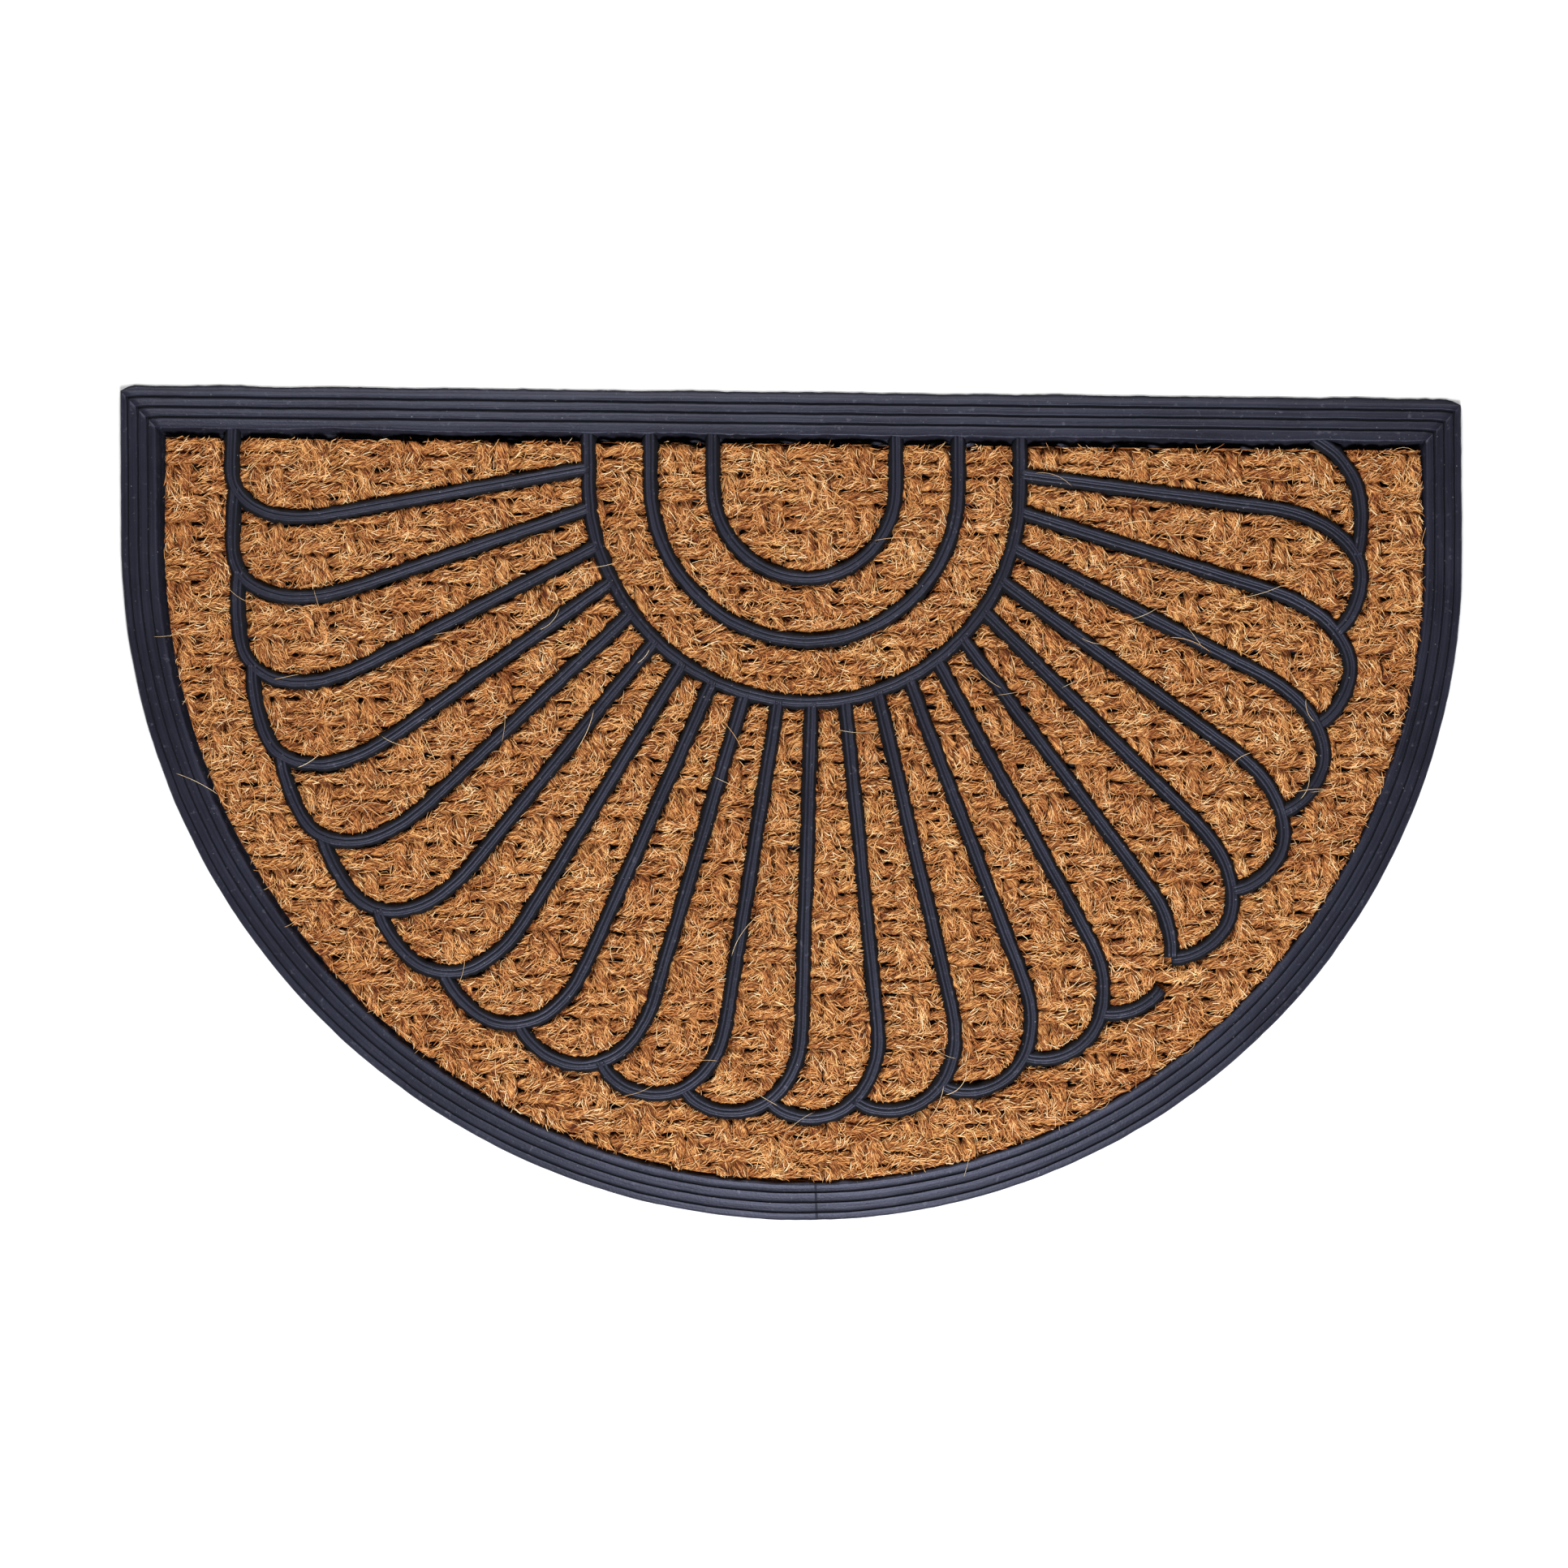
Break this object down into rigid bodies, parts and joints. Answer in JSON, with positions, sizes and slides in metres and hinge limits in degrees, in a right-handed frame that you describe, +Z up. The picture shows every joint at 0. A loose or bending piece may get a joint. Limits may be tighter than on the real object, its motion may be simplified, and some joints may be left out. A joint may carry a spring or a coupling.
{
  "type": "coir doormat",
  "caption": "Half-round doormat of woven coir in a moulded black rubber backing with a banded border and raised fan ribs.",
  "frame": {"origin": "middle of the mat's bounding box, on the floor under it", "axes": "+X along the straight edge, +Y from the round edge towards the straight edge, +Z up out of the coir"},
  "size_m": [0.7514, 0.46, 0.0115],
  "materials": {
    "rubber": "moulded black rubber, matt with a faint sheen",
    "coir": "woven two-ply coir yarn, hairy and matt"
  },
  "bodies": {
    "root": {"rubber_moulding": "rubber", "coir_panel": "coir"}
  },
  "joints": []
}
